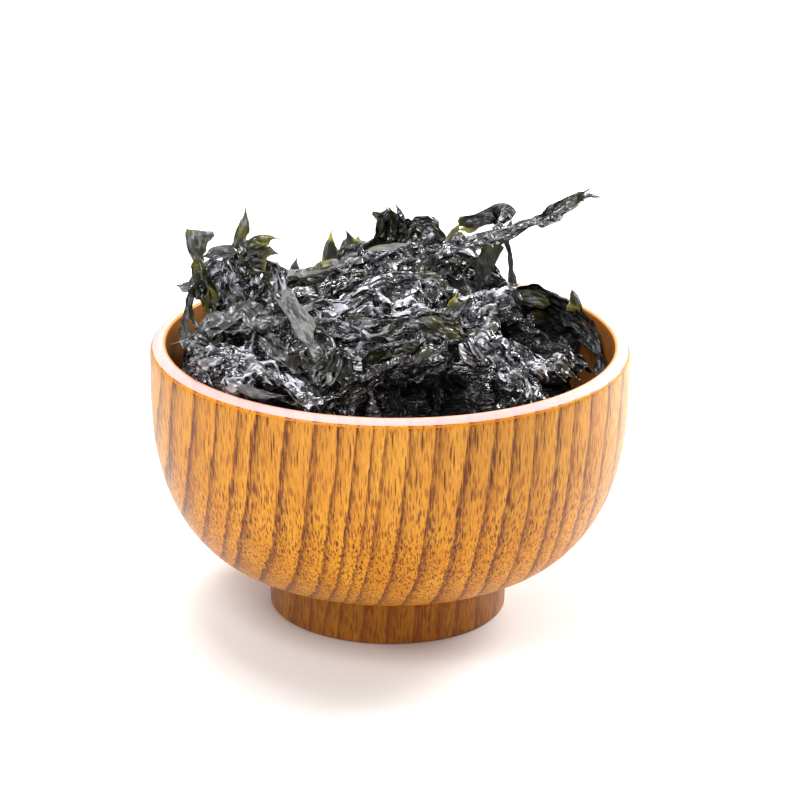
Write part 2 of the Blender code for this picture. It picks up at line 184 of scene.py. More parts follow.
# These lie on the heap, face up.
FRONT_BLADES = {
    "long_strip": blade((0, 5, 84, 6), (10, 1, 92, 5.5), (20, -4, 97, 4.6), (29, -7, 101, 4.2),
        (37, -9, 105.2, 2.9), (43, -10, 109, 2.2), (46.2, -10, 111.4, 1.6), (48.9, -10, 113.7, 0.5),
        pale=0.05, shade=0.15, steady=True),
    "strip_fork": blade((43.5, -9.8, 109.4, 1.8), (47.5, -10, 110.8, 1.7), (51.8, -10, 110.6, 0.6), calm=0.2,
        pale=0.15, steady=True),
    "side_membrane": blade((10, 8, 86, 12), (18, 7, 88.5, 12), (23.5, 4, 90, 8), (25.5, 2, 91.5, 3),
        calm=0.7, olive=0.3),
    "right_clump": blade((8, -18, 79, 9), (16, -18, 82, 10), (24, -15, 85, 9), (32, -12, 88, 5), pale=0.7,
        strands=5),
    "arch_membrane": blade((-31, 8, 81.5, 3), (-25, 12, 82.5, 7), (-16, 13, 84, 9), (-8, 13, 86.5, 9),
        (0, 13, 89.5, 6), (6, 13, 91, 2), calm=0.95, olive=0.12, pale=0.15, steady=True),
    "saddle": blade((-32, 6, 82, 8), (-24, 9, 82, 8), (-15, 10, 84, 9), (-6, 10, 88, 9), calm=0.8, olive=0.1,
        strands=3),
    "grey_membrane": blade((-28.5, -2, 86, 2.5), (-27, -8, 84.6, 5), (-24.8, -15, 83.4, 5),
        (-22, -21, 82, 6), (-19.5, -27, 80.4, 7.5), (-18, -32, 78.5, 6), (-18, -36, 76, 2), calm=1,
        steady=True),
    "membrane_arm": blade((-23, -18, 83, 3.5), (-17, -16, 84, 3), (-11, -15, 84.5, 2.2), (-5, -15, 85, 0.8),
        calm=0.9, pale=0.25, steady=True),
    "left_ribbons": blade((-49, -24, 70, 6), (-42, -29, 75, 9), (-34, -35, 75, 10), (-25, -41, 73, 7),
        pale=0.7, strands=5),
    "left_leaf": blade((-54, -16, 73.5, 1), (-49, -18, 75, 4), (-43, -20, 74, 5), calm=0.6),
    "left_bar": blade((-47, -13, 76, 7), (-37, -16, 81, 8), (-26, -19, 81, 7), calm=0.5, pale=0.15,
        strands=2),
    "front_leaf": blade((-38.5, -43, 72, 1), (-35.5, -44, 71.8, 4), (-31, -46, 71.5, 2.4),
        (-24, -47, 71.8, 0.7), calm=0.7, pale=0.15, steady=True),
    "star_arm": blade((-29, -42, 77, 2), (-25, -45, 75, 2.5), (-21, -48, 72.8, 4.5), (-18, -50, 71, 4.5),
        (-16.5, -51, 69.5, 1.5), pale=0.8, steady=True),
    "star_points": blade((-23.5, -48.5, 70.3, 1.5), (-18.5, -50, 71.6, 5), (-15, -50.3, 72.2, 2.5),
        (-11.8, -50.3, 72.6, 0.5), pale=0.8),
    "left_stem": blade((-48.5, -26, 73, 0.9), (-45, -31, 71.5, 0.8), (-42.3, -35, 69.3, 0.7), pale=0.4,
        steady=True),
    "centre_foil": blade((-16, -27, 82, 3), (-11, -29, 82, 6), (-6, -30, 81.5, 6), (-1, -31, 80, 3),
        pale=0.8),
    "centre_ribbon": blade((-15, -34, 79.5, 2.5), (-9, -35, 78.5, 5), (-3, -36, 77, 5), (3, -37, 74, 2),
        pale=0.7, strands=2),
    "centre_sheet": blade((-21, -19, 84, 5), (-14, -21, 84.5, 9), (-7, -22, 84.5, 10), (2, -24, 83.5, 6),
        pale=0.6, strands=4),
    "foil_patch": blade((0, -20, 85, 3), (4, -22, 86, 5), (8, -22, 86.2, 5), (12, -20, 85, 2), pale=0.9),
    "front_arc": blade((-17, -25, 79, 5), (-5, -31, 82, 6), (8, -30, 84, 6), (20, -27, 80, 6), olive=0.2,
        pale=0.5, strands=2),
    "right_ribbon": blade((17, -25, 79, 7), (25, -30, 79, 7), (32, -33, 76, 7), (42, -34, 71.5, 3), pale=0.6,
        strands=2),
}
REAR_BLADES = {
    "right_drop": blade((26, -28, 77, 6), (31, -37, 73, 7), (33, -43, 68, 5), pale=0.8, strands=3),
    "right_floor": blade((28, -8, 76, 8), (36, -10, 72, 10), (44, -12, 68.5, 10), (50, -13, 66, 6),
        shade=0.95, strands=3),
    "low_ribbon": blade((36, -19, 73.5, 2), (40, -21, 71.5, 4), (44, -22, 69, 3.5), (47.5, -21, 67, 1),
        pale=0.7),
    "front_diagonal": blade((-12, -45, 70, 5), (-2, -41, 76, 6), (10, -36, 79, 6), (20, -27, 80, 5),
        shade=0.35, strands=2),
    "top_clump": blade((-12, 2, 85.5, 10), (-4, 8, 87.5, 12), (5, 2, 89.5, 12), (15, 7, 89.5, 12),
        (26, 0, 86, 8), pale=0.3, strands=7),
    "middle_clump": blade((-14, -8, 83, 10), (-6, -13, 84, 12), (4, -7, 86, 12), (13, -12, 84, 11),
        pale=0.15, strands=7),
    "inner_clump": blade((4, -14, 82, 9), (13, -14, 81, 11), (22, -17, 79, 10), (30, -18, 74, 6), shade=0.25,
        strands=6),
    "rear_sheet": blade((-34, 30, 66, 12), (-24, 38, 69, 14), (-10, 43, 69, 12), strands=4),
    "rear_ribbon": blade((4, 34, 76, 9), (14, 36, 74, 10), (24, 36, 69, 7), strands=3),
    "rear_slope": blade((-30, 12, 80, 8), (-27, 24, 77, 11), (-20, 33, 73, 9), strands=4),
    "rear_fold": blade((6, 26, 83.5, 9), (13, 25, 80.5, 10), (20, 23, 77, 10), (27, 20, 74, 9),
        (33, 17, 70, 6), shade=0.8, strands=4),
    "membrane_fall": blade((-21, -27, 80, 6), (-18, -33, 78.2, 11), (-16.5, -38, 76, 12), (-17, -42, 74, 6),
        calm=0.35, olive=0.2, pale=0.35, strands=4),
}
# These stand up from the heap, face forward.
STANDING_BLADES = {
    "top_curl": blade((16.4, 14, 96.9, 2.2), (20, 14, 97.2, 2.4), (24, 13.5, 98.4, 3),
        (27.5, 12.5, 99.7, 3.6), (29.6, 11, 98.3, 3.4), calm=0.4, olive=0.1, shade=0.7, steady=True,
        square=True),
    "curl_under": blade((16.8, 13.4, 94.9, 2), (19.5, 13.4, 95, 2.8), (23.5, 13, 96.2, 1.4), calm=0.8,
        olive=1.2, steady=True),
    "curl_stem": blade((28.6, 11.2, 98.6, 5), (27, 6, 97.6, 5), (25.5, 0, 98, 4.5), shade=0.4),
    "curl_film": blade((14.4, 13, 90.5, 3.4), (15.5, 13.5, 93.5, 2.8), (17, 13.8, 96.6, 1.4), calm=0.9,
        olive=0.4, pale=0.8, steady=True),
    "strip_under": blade((33, -8, 102.6, 1), (39, -9.2, 105.4, 1.4), (44, -9.8, 108.6, 1.2),
        (47.5, -10, 110.8, 0.6), calm=0.8, olive=1.2, steady=True),
    "hanging_tail": blade((27.6, -4, 100, 2), (28.4, -4, 96, 1.7), (29, -4, 91.5, 1.5),
        (29.9, -5, 87, 1.9), (30.5, -7, 82, 2.6), calm=0.4, shade=0.7, steady=True, square=True),
    "hanging_film": blade((24.5, -4.5, 98, 6), (24, -4.5, 94, 5.2), (22.8, -5, 90, 4), (22, -6, 86, 4),
        calm=0.6, olive=0.25, shade=0.7, steady=True),
    "film_edge": blade((27, -4.8, 98.4, 1.6), (26.2, -4.8, 95, 1.8), (24.6, -5, 91.4, 1.2),
        (23.8, -5.5, 88.6, 0.6), calm=0.8, olive=1.1, steady=True),
    "clump_top": blade((19, 12, 74, 11), (24, 12, 75, 11), (29, 11, 74.6, 8.5), (33, 10, 73, 6), pale=0.5,
        shade=0.3),
    "back_crest": blade((-9, 20, 83, 9), (-3, 23.5, 85.5, 10), (3, 24.5, 88.5, 10.5), (7.5, 24, 88.8, 10.5),
        (10.5, 23, 85.5, 7), (13, 22, 83, 3), olive=0.3, shade=0.65),
    "back_spike_left": blade((-1.2, 24, 88, 5), (-1.2, 24.5, 93.5, 3), (-1.6, 24.5, 97.8, 0.5), olive=0.6,
        shade=0.3, steady=True),
    "back_spike_right": blade((2.8, 24, 88, 7), (2.2, 24.5, 93.5, 4), (0.9, 24.5, 98.5, 0.5), olive=0.4,
        shade=0.4, steady=True),
    "rear_tooth_left": blade((-15.4, 34, 76, 5), (-15.6, 35, 80.5, 4.4), (-15.8, 35.5, 84, 2.6),
        (-15.4, 36, 88.2, 0.5), calm=0.8, olive=1.6, steady=True),
    "rear_tooth_right": blade((-8.5, 33, 78, 7), (-9.5, 35, 82, 5.6), (-11, 36, 85, 3.6),
        (-12.4, 36, 87.7, 0.8), calm=0.8, olive=1.2, steady=True),
    "rear_edge": blade((-15, 33, 79, 7), (-8, 32, 82.5, 8), (-2, 27, 83, 8), calm=0.5, olive=0.4),
    "flag_stem": blade((-44, -7, 79, 5), (-45.6, -6.5, 84.5, 4), (-47.2, -6, 88.5, 4.2),
        (-47.8, -5.5, 92.5, 5), olive=0.4, shade=0.4, steady=True),
    "flag_link": blade((-47.5, -5, 92.6, 2.2), (-45, -5, 93, 2.8), (-41.5, -4.5, 93.8, 3),
        (-38, -4, 93.5, 3), calm=0.5, pale=0.6, steady=True),
    "flag": blade((-46.8, -5.2, 90.6, 3), (-47.2, -5, 93, 5.4), (-47.5, -5, 96.5, 6.2),
        (-46.9, -5, 99.4, 7.2), calm=0.6, olive=0.5, pale=1, steady=True, square=True),
    "tuft": blade((-38, -10, 72, 13), (-37, -6, 82, 15), (-35.5, -3, 90, 12), (-35.4, -1, 95, 7), pale=0.5,
        strands=5),
    "tuft_spike": blade((-37.6, -1, 92.5, 6), (-37.2, 0, 96.5, 5), (-36.4, 0.5, 100.3, 2.4),
        (-35.7, 1, 105, 0.5), calm=0.6, olive=0.5, pale=0.9, steady=True),
    "tuft_side": blade((-34, -3, 80, 8), (-38.5, -4, 87, 7), (-41.5, -4, 93.5, 3), pale=0.5, strands=2),
    "tuft_point": blade((-38, -1, 90.5, 5), (-33.5, 0, 94.8, 3), (-30, 0, 96, 1.6),
        (-25.4, 0, 95.2, 0.5), olive=0.8, steady=True),
    "tuft_lobe": blade((-38, -4, 90, 5), (-33, -5, 93.2, 5.2), (-30, -4, 93.8, 4.2), (-27.4, -4, 93, 0.8),
        calm=0.3, olive=0.9),
    "tuft_hang": blade((-45, -6, 88, 3.5), (-48.6, -7, 85.5, 2.4), (-49.8, -9, 81, 1.8), (-49, -12, 76, 4),
        (-45, -18, 71, 5), calm=0.4, olive=0.3, shade=0.3),
    "hang_patch": blade((-44.6, -7, 86, 3), (-44.6, -8, 82, 4.2), (-45.2, -9, 78, 3), calm=0.7, olive=1.1),
    "hang_spike": blade((-48.2, -9, 86, 2.4), (-50.6, -9, 86.4, 1.8), (-53.2, -9, 86.6, 0.6), steady=True),
    "green_leaf": blade((12, -20, 80.5, 2.5), (13.8, -21, 83.2, 5.5), (16.6, -21.5, 85.6, 5.5),
        (18.6, -21.5, 87.6, 1.2), calm=0.8, olive=0.5, pale=0.6),
    "leaf_point": blade((14.5, -21.2, 84, 3), (15.6, -21.2, 86.8, 1.8), (16, -21.2, 89.4, 0.5), olive=1),
    "cave_leaf": blade((-4, -22, 78.5, 2), (0, -21.5, 78.8, 5), (4, -21.5, 78.5, 2), calm=0.5, olive=0.8,
        shade=0.2),
    "stem": blade((28, -3, 80, 1.1), (32, -5.5, 77, 0.8), (37, -8, 73, 0.8), (42, -12, 69.1, 0.8), pale=0.5,
        steady=True),
    "right_wall": blade((44, 29, 68.5, 5), (47.5, 25, 67.5, 5), (51, 18.5, 65.5, 3.6), (52.6, 12, 63.8, 2.6),
        (53, 5, 61.5, 2), (52, -3, 60, 2), calm=0.5, olive=0.1, shade=0.85),
    "saddle_spike": blade((-25.6, 16, 79, 4), (-24.8, 17, 82, 3), (-24, 17.5, 86.2, 0.5), calm=0.8, pale=0.5,
        steady=True),
    "right_sheet": blade((27, 31, 67, 12), (34.5, 33, 68.6, 14), (41, 31, 68.2, 13.5), (46, 27, 66.6, 8),
        (50, 22, 64, 4), calm=0.6, olive=0.15, shade=0.88, steady=True),
    "right_sheet_low": blade((28, 35, 58, 13), (36, 33, 59, 14), (42.5, 29, 59, 14), (46, 25, 57, 7),
        calm=0.7, shade=0.92),
    "right_sheet_edge": blade((29.5, 30.5, 71.2, 2), (35, 31, 71.2, 4), (41, 28.5, 70.4, 3), calm=0.7,
        olive=0.9, steady=True),
    "right_sheet_tip": blade((47.4, 26.2, 68.4, 5.5), (47.2, 26.4, 71.6, 4.2), (46.4, 26.6, 75.6, 0.5),
        calm=0.6, olive=1.1, steady=True),
    "rear_green": blade((-15.5, 14.2, 80.6, 2.5), (-12.4, 14.2, 83.8, 4.2), (-9, 14.2, 87.4, 2), calm=0.8,
        olive=0.7),
}


# -------- meshes


def mesh_object(name, points, quads, triangles=(), smooth=True):
    """An object from points in millimetres and the corners of its quads and triangles."""
    quads, triangles = np.asarray(quads, np.int32), np.asarray(triangles, np.int32)
    corners = np.concatenate([quads.ravel(), triangles.ravel()])
    triangle_starts = quads.size + 3 * np.arange(len(triangles), dtype=np.int32)
    starts = np.concatenate([4 * np.arange(len(quads), dtype=np.int32), triangle_starts])
    mesh = bpy.data.meshes.new(name)
    mesh.vertices.add(len(points))
    mesh.vertices.foreach_set("co", (np.asarray(points, np.float32) * MM).ravel())
    mesh.loops.add(len(corners))
    mesh.loops.foreach_set("vertex_index", corners)
    mesh.polygons.add(len(starts))
    mesh.polygons.foreach_set("loop_start", starts)
    mesh.polygons.foreach_set("use_smooth", np.full(len(starts), smooth))
    mesh.update(calc_edges=True)
    made = bpy.data.objects.new(name, mesh)
    bpy.context.scene.collection.objects.link(made)
    return made


def ring_solid(name, rings, first, last):
    """A closed object from rings of points round the axis, with a centre point before and one after them."""
    rows, around = rings.shape[:2]
    here = np.arange(around)
    ahead = (here + 1) % around
    low = around * np.arange(rows - 1)[:, None]
    high = low + around
    quads = np.stack([low + here, high + here, high + ahead, low + ahead], -1).reshape(-1, 4)
    before, after, end = rows * around, rows * around + 1, (rows - 1) * around
    caps = [(before, a, b) for a, b in zip(here, ahead)]
    caps += [(after, end + b, end + a) for a, b in zip(here, ahead)]
    points = np.concatenate([rings.reshape(-1, 3), [first, last]])
    return mesh_object(name, points, quads, caps), points


def unit(vectors):
    return vectors / np.maximum(np.linalg.norm(vectors, axis=-1, keepdims=True), 1e-9)


def grid_normals(points):
    return unit(np.cross(np.gradient(points, axis=0), np.gradient(points, axis=1)))


# -------- bowl


def swell(height, low, high, power, root):
    share = np.clip((height - low) / (high - low), 0, 1)
    return (1 - (1 - share) ** power) ** (1 / root)


def outer_radius(height):
    widening = swell(height, FOOT_HEIGHT, SHOULDER_HEIGHT, BELLY_POWER, BELLY_ROOT)
    return FOOT_RADIUS + (BOWL_RADIUS - FOOT_RADIUS) * widening


def inner_radius(height):
    return RIM_INNER_RADIUS * swell(height, WELL_HEIGHT, SHOULDER_HEIGHT, WELL_POWER, WELL_ROOT)


def rounded(corners, radius, steps=4):
    """A polyline whose inner corners are rounded off, by a quadratic curve this long on either side."""
    corners = [np.array(corner) for corner in corners]
    points = [corners[0]]
    for before, here, after in zip(corners, corners[1:], corners[2:]):
        to_before, to_after = before - here, after - here
        cut = min(radius, 0.45 * np.linalg.norm(to_before), 0.45 * np.linalg.norm(to_after))
        start = here + to_before / np.linalg.norm(to_before) * cut
        end = here + to_after / np.linalg.norm(to_after) * cut
        for t in np.linspace(0, 1, steps + 1):
            points.append((1 - t) ** 2 * start + 2 * t * (1 - t) * here + t**2 * end)
    points.append(corners[-1])
    return points


def bowl_profile():
    """(radius, height) points from the inside's centre up the wall, over the rim and down the outside."""
    shares = np.linspace(0, 1, PROFILE_STEPS)
    inside_heights = WELL_HEIGHT + (SHOULDER_HEIGHT - WELL_HEIGHT) * shares**2.4
    inside = [(inner_radius(z), z) for z in inside_heights]
    outside_heights = FOOT_HEIGHT + (SHOULDER_HEIGHT - FOOT_HEIGHT) * shares**2.2
    outside = [(outer_radius(z), z) for z in outside_heights]
    rim_corners = [
        inside[-1], (RIM_INNER_RADIUS, BOWL_HEIGHT - 0.15), (RIM_OUTER_RADIUS - RIM_FLAT, BOWL_HEIGHT),
        (RIM_OUTER_RADIUS, BOWL_HEIGHT - RIM_DROP), (BOWL_RADIUS, BOWL_HEIGHT - RIM_DROP - 1.1), outside[-1],
    ]
    foot_corners = [
        (FOOT_RADIUS + 0.05, FOOT_HEIGHT - 0.05), (FOOT_RADIUS - FOOT_TAPER, 0), (RECESS_RADIUS, 0),
        (RECESS_RADIUS - RECESS_DEPTH, RECESS_DEPTH), (0, RECESS_DEPTH),
    ]
    rim, foot = rounded(rim_corners, RIM_ROUND), rounded(foot_corners, FOOT_ROUND)
    return np.array(inside[:-1] + rim + outside[-2:0:-1] + foot)


def add_bowl(material):
    profile = bowl_profile()
    turns = np.arange(TURN_STEPS) * TAU / TURN_STEPS
    radius, height = profile[1:-1, 0, None], profile[1:-1, 1, None]
    rings = np.stack([radius * np.cos(turns), radius * np.sin(turns), height + 0 * turns], -1)
    centres = [(0, 0, profile[end, 1]) for end in (0, -1)]
    bowl, _ = ring_solid("wooden_bowl", rings, *centres)
    bowl.data.materials.append(material)
    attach(bowl, "root")
    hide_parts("bowl")


# -------- noise and curves


def chance_for(name):
    """Random numbers that depend on this name alone."""
    return np.random.default_rng([SEED, *name.encode()])


def cell_of(x, y):
    """The whole numbers below two arrays, and what is left over."""
    x, y = np.broadcast_arrays(x, y)
    i, j = np.floor(x).astype(int), np.floor(y).astype(int)
    return i, j, x - i, y - j


def noise_field(chance, size=64):
    """A function of two arrays: smooth noise from -1 to 1, one lump for each unit."""
    values = chance.uniform(-1, 1, (size, size))

    def field(x, y):
        i, j, *shares = cell_of(x, y)
        u, v = (t * t * t * (t * (6 * t - 15) + 10) for t in shares)
        i, j, k, m = i % size, j % size, (i + 1) % size, (j + 1) % size
        low = values[i, j] * (1 - u) + values[k, j] * u
        high = values[i, m] * (1 - u) + values[k, m] * u
        return low * (1 - v) + high * v

    return field


def facet_field(chance, size=32):
    """A function of two arrays: heights of flat facets one unit across, each at its own tilt."""
    jitter = chance.uniform(0, 1, (size, size, 2))
    tilt = chance.normal(0, 1, (size, size, 3))

    def field(x, y):
        i, j, u, v = cell_of(x, y)
        total, weight = np.zeros(u.shape), np.full(u.shape, 1e-9)
        for over in (-1, 0, 1):
            for up in (-1, 0, 1):
                m, n = (i + over) % size, (j + up) % size
                dx, dy = u - over - jitter[m, n, 0], v - up - jitter[m, n, 1]
                share = np.exp(-22 * (dx * dx + dy * dy))
                total += share * (tilt[m, n, 0] * dx + tilt[m, n, 1] * dy + 0.3 * tilt[m, n, 2])
                weight += share
        return total / weight

    return field


def crease(angle, sharpness=0.99):
    """A wave of straight slopes and narrow ridges."""
    return np.arcsin(sharpness * np.sin(angle)) / math.asin(sharpness)


def along(route, shares):
    """Rows of position and width at these shares of a route, on a smooth curve through its points."""
    knots = np.array(route, float)
    knots = np.concatenate([knots[:1], knots, knots[-1:]])
    spans = len(route) - 1
    at = np.clip(shares, 0, 1) * spans
    index = np.minimum(at.astype(int), spans - 1)
    t = (at - index)[:, None]
    a, b, c, d = (knots[index + k] for k in range(4))
    return 0.5 * (
        2 * b + (c - a) * t + (2 * a - 5 * b + 4 * c - d) * t**2 + (3 * b - a - 3 * c + d) * t**3
    )


# -------- heap


def bumps(x, y, places):
    """The sum of round bumps, each given by its x, y, spread and height."""
    total = 0
    for at_x, at_y, spread, rise in places:
        total = total + rise * np.exp(-((x - at_x) ** 2 + (y - at_y) ** 2) / (2 * spread**2))
    return total


def dome(x, y):
    reach = np.minimum(np.hypot(x, y) / MOUND_EDGE_RADIUS, 1)
    return MOUND_EDGE_HEIGHT + (MOUND_PEAK_HEIGHT - MOUND_EDGE_HEIGHT) * (1 - reach**2) ** MOUND_SHAPE


def mound_top(x, y):
    """Height of the heap's mean surface."""
    return dome(x, y) + bumps(x, y, SWELLINGS)


def hollow(x, y):
    """How far the heap falls away below its mean surface, in the dark gaps between its blades."""
    return bumps(x, y, GAPS)


# Painted shade grows with this depth
def depth_in_heap(points):
    """0 near the heap's mean surface, 1 well down in it."""
    below = dome(points[..., 0], points[..., 1]) - points[..., 2]
    return np.clip((below - SHADE_START) / SHADE_SPAN, 0, 1)


def keep_in_bowl(points):
    """The points moved towards the axis where they would meet the bowl or hang too far over its rim."""
    z = points[..., 2]
    above = np.maximum(z - BOWL_HEIGHT - WALL_GAP, 0)
    room = inner_radius(np.maximum(z - WALL_GAP, WELL_HEIGHT)) - WALL_GAP + OVERHANG * above
    radius = np.maximum(np.hypot(points[..., 0], points[..., 1]), 1e-6)
    shrink = np.minimum(1, room / radius)
    kept = points.copy()
    kept[..., :2] *= shrink[..., None]
    return kept


def finish_laver(piece, values, material):
    for name, value in values.items():
        kind, key = ("FLOAT_VECTOR", "vector") if value.ndim == 2 else ("FLOAT", "value")
        layer = piece.data.attributes.new(name, kind, "POINT")
        layer.data.foreach_set(key, value.astype(np.float32).ravel())
    piece.data.materials.append(material)
    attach(piece, "root")
    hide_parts("laver")


def add_bed(material):
    """The crumpled mass under the blades that show, one closed solid down to the bowl's well."""
    chance = chance_for("laver_bed")
    turns = np.arange(BED_AROUND) * TAU / BED_AROUND
    radius = MOUND_EDGE_RADIUS * np.linspace(0, 1, BED_RINGS)[1:, None]
    x, y = radius * np.cos(turns), radius * np.sin(turns)
    fields = [noise_field(chance) for _ in range(2 * len(BED_RIDGES))]
    ridges = np.zeros_like(x)
    for index, (size, rise) in enumerate(BED_RIDGES):
        way = 0.5 + 0.7 * index
        over, across = x * math.cos(way) + y * math.sin(way), y * math.cos(way) - x * math.sin(way)
        over = over + 1.2 * size * fields[index](y / (1.7 * size), x / (1.7 * size))
        folds = fields[index + len(BED_RIDGES)](over / size, across / (1.6 * size))
        ridges += rise * (1 - 2 * np.abs(folds))
    top = mound_top(x, y) - BED_DEPTH - hollow(x, y) + 0.8 * ridges
    rings = list(keep_in_bowl(np.stack([x, y, top], -1)))
    edge, floor = rings[-1][:, 2], WELL_HEIGHT + WALL_GAP
    for share in np.linspace(0, 1, BED_WALL_RINGS)[1:-1]:
        height = edge + (floor - edge) * (1 - (1 - share) ** 2)
        wall = np.minimum(inner_radius(height - WALL_GAP) - WALL_GAP, MOUND_EDGE_RADIUS)
        rings.append(np.stack([wall * np.cos(turns), wall * np.sin(turns), height], -1))
    bed, points = ring_solid("laver_bed", np.array(rings), (0, 0, top[0].mean()), (0, 0, floor))
    values = {key: np.zeros(len(points)) for key in ("thinness", "calm", "pale")}
    values |= {"sheet": points, "depth": depth_in_heap(points)}
    finish_laver(bed, values, material)


# -------- one blade


def spikes(lengths, chance, spacing, widths, heights):
    """Sharp peaks along an edge, about this far apart."""
    total = np.zeros_like(lengths)
    for _ in range(int(lengths[-1] / spacing) + 1):
        at = chance.uniform(0, lengths[-1])
        total += chance.uniform(*heights) * np.exp(-np.abs(lengths - at) / chance.uniform(*widths))
    return total


def ragged_side(lengths, chance, calm, steady):
    """Half width along one side of a blade, as a share: concave between sharp points."""
    wave = noise_field(chance)
    start = chance.uniform(0, 50)
    side = 0.62 + 0.2 * wave(lengths / 6 + start, 0.5) + 0.1 * wave(lengths / 1.6, start)
    side += spikes(lengths, chance, 5.5 + 2 * calm, (0.7, 2.6), (0.25, 1))
    side -= spikes(lengths, chance, 9, (0.4, 1), (0.15, 0.5))
    if steady:
        side = 0.95 + 0.22 * (side - side.mean())
    return np.clip(side, 0.12, 2)


def blade_axes(place, lengths, standing, twist, wander, offset):
    """The ways across a blade and out of its face, all along it."""
    tangent = unit(np.gradient(place, axis=0))
    if standing:
        outward = np.tile((0, -1, 0.35), (len(place), 1))
    else:
        outward = np.stack([place[:, 0] * 0.016, place[:, 1] * 0.016 - 0.6, np.ones(len(place))], -1)
    side = unit(np.cross(tangent, unit(outward)))
    face = unit(np.cross(side, tangent))
    turn = (twist * wander(lengths / 13 + offset[3], offset[4]))[:, None]
    return side * np.cos(turn) + face * np.sin(turn), face * np.cos(turn) - side * np.sin(turn)


def torn(across, v, lengths, half, calm, tears, chance):
    """The places across a blade with slits opened between them, and which quads are left."""
    rows, columns = across.shape
    keep = np.ones((rows - 1, columns - 1), bool)
    for _ in range(tears):
        at, reach = chance.uniform(0.15, 0.85) * lengths[-1], chance.uniform(1.2, 3 + 2 * calm)
        column = int(chance.uniform(0.25, 0.7) * columns)
        gap = half * chance.uniform(0.12, 0.3) * np.sqrt(np.maximum(0, 1 - ((lengths - at) / reach) ** 2))
        fade = np.exp(-np.abs(across - across[:, column : column + 1]) / (0.5 * half))
        edge_fade = 1 - np.abs(v) ** 4
        away = np.where(np.arange(columns) <= column, -1, 1)
        across = across + away * gap[:, None] * fade * edge_fade
        keep[(gap[:-1] > 0) & (gap[1:] > 0), column] = False
    return across, keep


def pleat_angle(u, v, across, half, calm, flow, place, chance):
    """The angle that the sheet has along its own width: pleats that run its length, and rolled sides."""
    angle = 0.4 * chance.uniform(-1, 1) + np.zeros_like(across)
    for wavelength, swing in PLEATS:
        shift = chance.uniform(0, NOISE_SPAN, 4)
        strength = 0.7 + 0.9 * flow(u / 9 + shift[0], across / 5 + shift[1])
        phase = 3.4 * flow(u / 8 + shift[2], across / 9 + shift[3])
        wave = crease(TAU * half / wavelength * v + phase + shift[0])
        angle = angle + (1 - 0.6 * calm) * swing * np.clip(strength, 0, 1.5) * wave
    for sign in (-1, 1):
        roll = chance.uniform(-2.2, 2.2) + 1.5 * flow(u / 10 + place, sign * 7)
        angle = angle + (1 - 0.5 * calm) * roll * np.clip(sign * v, 0, 1) ** 3
    return angle


def crumpling(u, across, flow, chance):
    """Heights at right angles to the sheet: flat facets and crossing creases."""
    height = np.zeros_like(across)
    for long, wide, slope in FACETS:
        facets = facet_field(chance)
        shift = chance.uniform(0, NOISE_SPAN, 2)
        height += slope * wide * facets(u / long + shift[0], across / wide + shift[1])
    for wavelength, lean, share in CREASES:
        shift = chance.uniform(0, NOISE_SPAN, 6)
        lean = lean + chance.uniform(-0.3, 0.3)
        line = across * math.cos(lean) + u * math.sin(lean)
        warp = 2.4 * flow(u / 8 + shift[0], across / 4 + shift[1])
        patch = np.clip(0.4 + 1.2 * flow(u / 8 + shift[3], across / 5 + shift[4]), 0, 1.3)
        height += share * wavelength * patch * crease(TAU * line / wavelength + warp + shift[5])
    return height


